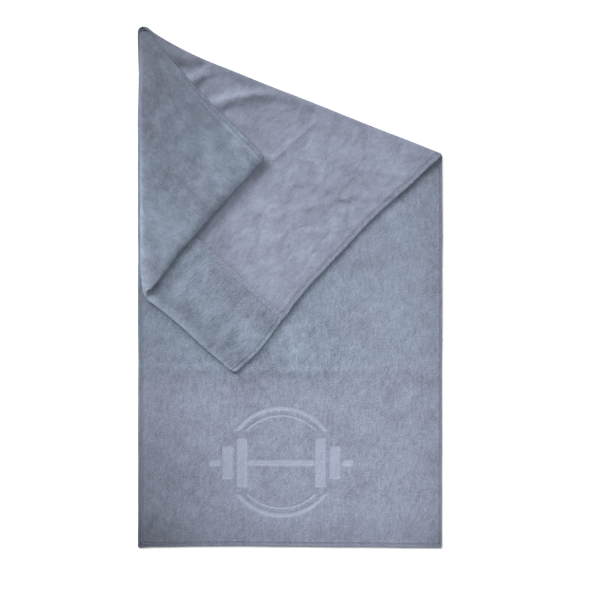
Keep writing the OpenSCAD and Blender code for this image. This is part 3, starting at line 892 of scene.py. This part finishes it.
def node(tree, kind, inputs, **settings):
    """A new node. inputs holds a value or a socket for each input, by name or number."""
    made = tree.nodes.new("ShaderNode" + kind)
    for key, value in settings.items():
        setattr(made, key, value)
    for key, value in inputs.items():
        if isinstance(value, bpy.types.NodeSocket):
            tree.links.new(value, made.inputs[key])
        else:
            made.inputs[key].default_value = value
    return made


def new_material(name, constants):
    """A material and its node tree, with constants set on its shader."""
    material = bpy.data.materials.new(name)
    material.use_nodes = True
    for key, value in constants.items():
        material.node_tree.nodes["Principled BSDF"].inputs[key].default_value = value
    return material, material.node_tree


def soft_material(name, sheen):
    sheen = {"Sheen Weight": sheen, "Sheen Roughness": 0.45, "Sheen Tint": (0.85, 0.9, 1.0, 1)}
    return new_material(name, {"Roughness": 0.92, "Specular IOR Level": 0.12, **sheen})


def finished(material, tree, colour, normal=None):
    """The material with a colour and a normal linked to its shader."""
    inputs = tree.nodes["Principled BSDF"].inputs
    tree.links.new(colour, inputs["Base Color"])
    if normal is not None:
        tree.links.new(normal, inputs["Normal"])
    return material


def noise(tree, vector, scale, detail, rough=0.6):
    inputs = {"Vector": vector, "Scale": scale, "Detail": detail, "Roughness": rough}
    return node(tree, "TexNoise", inputs).outputs["Fac"]


def stretched(tree, vector, scale, place=(0, 0, 0)):
    return node(tree, "Mapping", {"Vector": vector, "Scale": scale, "Location": place}).outputs["Vector"]


def between(tree, value, low, high, out_low=0.0, out_high=1.0):
    limits = {"From Min": low, "From Max": high, "To Min": out_low, "To Max": out_high}
    made = node(tree, "MapRange", {"Value": value, **limits}, interpolation_type="SMOOTHSTEP")
    return made.outputs["Result"]


def blended(tree, share, first, second):
    return node(tree, "Mix", {0: share, 6: first, 7: second}, data_type="RGBA").outputs[2]


def bumped(tree, height, distance, strength, normal=None):
    inputs = {"Height": height, "Strength": strength, "Distance": distance}
    if normal is not None:
        inputs["Normal"] = normal
    return node(tree, "Bump", inputs).outputs["Normal"]


def cut_coordinates(tree):
    return node(tree, "UVMap", {}, uv_map="cut").outputs["UV"]


def object_coordinates(tree):
    return node(tree, "TexCoord", {}).outputs["Object"]


def vertex_value(tree, name):
    return node(tree, "Attribute", {}, attribute_name=name).outputs["Fac"]


def calculated(tree, operation, *values):
    return node(tree, "Math", dict(enumerate(values)), operation=operation).outputs[0]


def varied(tree, total, parts):
    """The total plus each noise's departure from its middle times its share."""
    for value, share in parts:
        total = calculated(tree, "MULTIPLY_ADD", calculated(tree, "SUBTRACT", value, 0.5), share, total)
    return total


def scaled_vector(tree, vector, factor):
    return node(tree, "VectorMath", {0: vector, "Scale": factor}, operation="SCALE").outputs[0]


def tinted(colour, factor):
    return (*(c * factor for c in colour[:3]), 1)


def crinkles(tree, place):
    """A net of fine soft creases, as washed and folded cloth has."""
    wander = node(tree, "TexNoise", {"Vector": place, "Scale": 30}).outputs["Color"]
    bent = node(tree, "VectorMath", {0: place, 1: scaled_vector(tree, wander, 0.03)}, operation="ADD")
    cells = {"Vector": bent.outputs[0], "Scale": 22}
    cells = node(tree, "TexVoronoi", cells, feature="DISTANCE_TO_EDGE")
    return between(tree, cells.outputs["Distance"], 0.0, 0.22)


# How fine the cloth's patches, hand strokes, streaks and tufts are.
PATCHES, HANDS, STREAKS, TUFTS = 13, 44, 170, 420


def cloth_material(name, colour, green, seed, crinkle=0.0, has_mark=False):
    """Brushed microfibre: short pile in small tufts, brushed this way and that in broad patches."""
    material, tree = soft_material(name, 0.3)
    place = stretched(tree, cut_coordinates(tree), (1, 1, 1), (seed, seed * 0.7, 0))
    patches = noise(tree, place, PATCHES, 3, 0.62)
    hands = noise(tree, stretched(tree, place, (1, 0.72, 1)), HANDS, 3, 0.75)
    streaks = noise(tree, stretched(tree, place, (1, 0.42, 1)), STREAKS, 3, 0.8)
    tufts = noise(tree, place, TUFTS, 2, 0.8)
    patchy = between(tree, patches, 0.3, 0.7, -0.45, 0.45)
    green_share = calculated(tree, "ADD", vertex_value(tree, "green"), patchy)
    green_share.node.use_clamp = True
    base = blended(tree, green_share, colour, green)
    broad = varied(tree, 0.0, [(patches, 0.42), (hands, 0.42)])
    fine = varied(tree, 0.0, [(streaks, 0.72), (tufts, 1.05)])
    grain = calculated(tree, "MULTIPLY_ADD", broad, vertex_value(tree, "broad"), 1.0)
    grain = calculated(tree, "MULTIPLY_ADD", fine, vertex_value(tree, "fine"), grain)
    # Scaled by the painted shade and highlights and the cloth's own tone that tones() puts on each point.
    factor = calculated(tree, "MULTIPLY", grain, vertex_value(tree, "tone_and_painted_light"))
    if has_mark:
        calm = calculated(tree, "MULTIPLY", vertex_value(tree, "mark"), 0.72)
        pressed = calculated(tree, "MULTIPLY", vertex_value(tree, "tone_and_painted_light"), 1.42)
        factor = node(tree, "Mix", {0: calm, 2: factor, 3: pressed}, data_type="FLOAT").outputs[0]
    softer = crinkle * 0.5
    normal = bumped(tree, hands, 0.0035, 0.5 - softer)
    normal = bumped(tree, streaks, 0.0014, 0.6 - softer, normal)
    normal = bumped(tree, tufts, 0.0008, 0.7 - softer, normal)
    if crinkle:
        normal = bumped(tree, crinkles(tree, place), 0.002, crinkle, normal)
    return finished(material, tree, scaled_vector(tree, base, factor), normal)


def hem_material(colour):
    """The same cloth pressed flat under thread, with small puckers along the seam."""
    material, tree = soft_material("hem_cloth", 0.2)
    cut = cut_coordinates(tree)
    tufts = noise(tree, cut, 480, 2, 0.8)
    puckers = noise(tree, cut, 200, 2)
    grain = varied(tree, 1.0, [(puckers, 0.6), (tufts, 0.8)])
    # Scaled by the same painted shade, highlights and tone as the cloth around it.
    factor = calculated(tree, "MULTIPLY", grain, vertex_value(tree, "tone_and_painted_light"))
    base = blended(tree, between(tree, puckers, 0.3, 0.7), tinted(colour, 0.96), tinted(colour, 1.04))
    normal = bumped(tree, puckers, 0.0018, 0.6)
    normal = bumped(tree, tufts, 0.0007, 0.6, normal)
    return finished(material, tree, scaled_vector(tree, base, factor), normal)


def thread_material(colour):
    """Twisted polyester thread."""
    constants = {"Roughness": 0.55, "Specular IOR Level": 0.35, "Sheen Weight": 0.15}
    material, tree = new_material("sewing_thread", constants)
    waves_in = {"Vector": object_coordinates(tree), "Scale": 700, "Distortion": 1.5}
    strands = node(tree, "TexWave", waves_in, bands_direction="DIAGONAL").outputs["Fac"]
    base = blended(tree, strands, tinted(colour, 0.86), tinted(colour, 1.12))
    return finished(material, tree, base, bumped(tree, strands, 0.0002, 0.6))


def floor_material():
    material, tree = new_material("floor", {"Roughness": 0.95, "Specular IOR Level": 0.05})
    cloudy = noise(tree, object_coordinates(tree), 3, 2)
    return finished(material, tree, blended(tree, cloudy, (0.93, 0.93, 0.93, 1), (0.95, 0.95, 0.95, 1)))


FRONT = (0.215, 0.236, 0.309, 1)
FRONT_GREEN = (0.187, 0.224, 0.287, 1)
REAR = (0.235, 0.256, 0.335, 1)
REAR_GREEN = (0.219, 0.247, 0.322, 1)
HEM_COLOUR = (0.2, 0.224, 0.292, 1)
THREAD = (0.235, 0.26, 0.33, 1)

front_cloth = cloth_material("microfibre_front", FRONT, FRONT_GREEN, 0.0, 0.0, True)
rear_cloth = cloth_material("microfibre_rear", REAR, REAR_GREEN, 3.1, 0.35)
hem_cloth = hem_material(HEM_COLOUR)
thread = thread_material(THREAD)


# ---- the pieces ----


def bend_over_main(piece):
    """Bakes the piece's placement into its mesh."""
    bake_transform(piece)
    return piece


def bend_over_corner(piece):
    """Bakes the piece's placement into its mesh; the normal of the corner fold's sloping hinge is worked out
    but not used.
    """
    normal = np.cross([*PAST_CORNER, 0.0], CORNER_AXIS)
    normal = normal / np.linalg.norm(normal) * np.sign(normal[2])
    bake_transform(piece)
    return piece


def finish_piece(piece, slot, *nodes):
    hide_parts(*nodes)
    return piece


def rigid(piece, body, slot, node_name):
    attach(piece, body)
    return finish_piece(piece, slot, node_name)


towel = bend_over_main(towel_cloth([front_cloth, rear_cloth]))
finish_piece(
    towel, "microfibre_front", "foot_panel", "main_fold_lower", "main_fold_upper", "flap_panel",
    "hood_panel_flap", "hood_end_fold_flap",
)
corner = bend_over_corner(corner_cloth([front_cloth, rear_cloth]))
finish_piece(
    corner, "microfibre_front", "corner_fold_lower", "hood_fold_lower", "corner_fold_upper",
    "hood_fold_upper", "corner_panel", "hood_panel_corner", "hood_end_fold_corner",
)

mouth_left, mouth_right = float(bend_end(MOUTH_UP)) - 0.3, float(bend_start(MOUTH_UP)) + 0.3
foot_strip = rigid(foot_band(), "main", "hem_cloth", "foot_hem")
left_strip = rigid(left_band(), "main", "hem_cloth", "left_hem")
right_strip = bend_over_main(finish_piece(right_band(), "hem_cloth", "right_hem", "flap_side_hem"))
corner_strip = rigid(corner_side_band(), "corner", "hem_cloth", "corner_side_hem")
mouth_strip = mouth_band("mouth_hem_strip", mouth_right, WIDTH - 0.4)
rigid(mouth_strip, "flap", "hem_cloth", "hood_mouth_hem_flap")
inner_strip = mouth_band("mouth_corner_hem_strip", 0.4, mouth_left, True)
rigid(inner_strip, "corner", "hem_cloth", "hood_mouth_hem_corner")

# The levels of the thread rows: sunk in the front, under the rear, and under the pocket and its mouth hem.
FRONT_ROW = CLOTH + MARGIN_RISE - 0.2
REAR_ROW = -0.05
POCKET_ROW = -CLOTH + 0.15
MOUTH_ROW = -CLOTH - 0.42
SIDE = WIDTH - ROW_INSET


def thread_row(name, node_name, body, level, rows):
    ends = [np.concatenate(points) for points in zip(*[row_points(low, high) for low, high in rows])]
    piece = stitches(name, *ends, level, math.copysign(1, level), body == "corner")
    return rigid(piece, body, "sewing_thread", node_name)


def side_row(across, low, high):
    return [((across, low), (across, high))]


def mouth_rows(left_of, right_of):
    """The mouth's two rows, from left_of to right_of a height up the open towel."""
    return [((left_of(up), up), (right_of(up), up)) for up in (MOUTH_UP + gap for gap in MOUTH_ROWS)]


foot_row = [((ROW_INSET, ROW_INSET), (SIDE, ROW_INSET))]
left_row = side_row(ROW_INSET, HEM, fold_up(ROW_INSET) - HEM)
right_row = side_row(SIDE, HEM, fold_up(SIDE) - HEM)
flap_row = side_row(SIDE, fold_up(SIDE) + 8, MOUTH_UP - 1)
pocket_row = side_row(SIDE, MOUTH_UP + MOUTH_HEM + 1, LENGTH - 2)
outer_rows = mouth_rows(lambda up: float(bend_start(up)) + 1, lambda up: WIDTH - 2)
corner_row = side_row(ROW_INSET, MAIN_PIVOT[1] + 28, LENGTH - 3)
inner_rows = mouth_rows(lambda up: 2, lambda up: float(bend_end(up)) - 1)

main_threads = [
    thread_row("foot_thread", "foot_stitching", "main", FRONT_ROW, foot_row),
    thread_row("left_thread", "left_stitching", "main", FRONT_ROW, left_row),
    thread_row("right_thread", "right_stitching", "main", FRONT_ROW, right_row),
    thread_row("flap_side_thread", "flap_side_stitching", "flap", REAR_ROW, flap_row),
    thread_row("pocket_side_thread", "hood_side_stitching_flap", "flap", POCKET_ROW, pocket_row),
    thread_row("mouth_thread", "hood_mouth_stitching_flap", "flap", MOUTH_ROW, outer_rows),
]
corner_threads = [
    thread_row("corner_thread", "corner_side_stitching", "corner", FRONT_ROW, corner_row),
    thread_row("mouth_corner_thread", "hood_mouth_stitching_corner", "corner", MOUTH_ROW, inner_rows),
]


# ---- the studio ----

FLOOR_HALF = 6.0
FLOOR_LEVEL = -0.0004
CAMERA_PLACE = (0.0174, -0.0154, 3.311)


def linked(name, data):
    item = bpy.data.objects.new(name, data)
    bpy.context.scene.collection.objects.link(item)
    return item


def floor():
    mesh = bpy.data.meshes.new("floor")
    corners = [(x * FLOOR_HALF, y * FLOOR_HALF, 0) for x, y in ((-1, -1), (1, -1), (1, 1), (-1, 1))]
    mesh.from_pydata(corners, [], [(0, 1, 2, 3)])
    mesh.materials.append(floor_material())
    plane = linked("floor", mesh)
    plane.location.z = FLOOR_LEVEL


def lamp(name, kind, strength, colour, **settings):
    data = bpy.data.lights.new(name, kind)
    data.energy, data.color = strength, colour
    for key, value in settings.items():
        setattr(data, key, value)
    return linked(name, data)


def sun(name, azimuth, elevation, strength, angle, colour):
    """A distant lamp. azimuth is the direction that the light comes from, anticlockwise from +X."""
    item = lamp(name, "SUN", strength, colour, angle=math.radians(angle))
    item.rotation_euler = (0, math.radians(90 - elevation), math.radians(azimuth))


def studio():
    floor()
    sun("key", 134, 28, 3.8, 22, (1.0, 0.985, 0.97))
    sun("top", 95, 42, 1.35, 34, (1.0, 0.99, 0.98))
    # A soft lamp above the towel, facing down, whose light falls away to the sides.
    overhead = lamp("overhead", "AREA", 7.6, (0.97, 0.985, 1.0), size=0.7)
    overhead.location = (0.06, -0.02, 1.25)
    overhead.visible_camera = False
    world = bpy.data.worlds.new("studio")
    world.use_nodes = True
    background = world.node_tree.nodes["Background"]
    background.inputs["Color"].default_value = (0.98, 0.99, 1.0, 1)
    background.inputs["Strength"].default_value = 0.18
    bpy.context.scene.world = world
    bpy.context.scene.view_settings.view_transform = "Standard"


def camera():
    """Straight above the towel, with the frame a little to the right of it."""
    lens = bpy.data.cameras.new("camera")
    lens.lens, lens.sensor_width, lens.clip_end = 120, 36, 20
    item = linked("camera", lens)
    item.location = CAMERA_PLACE
    bpy.context.scene.camera = item


studio()
camera()
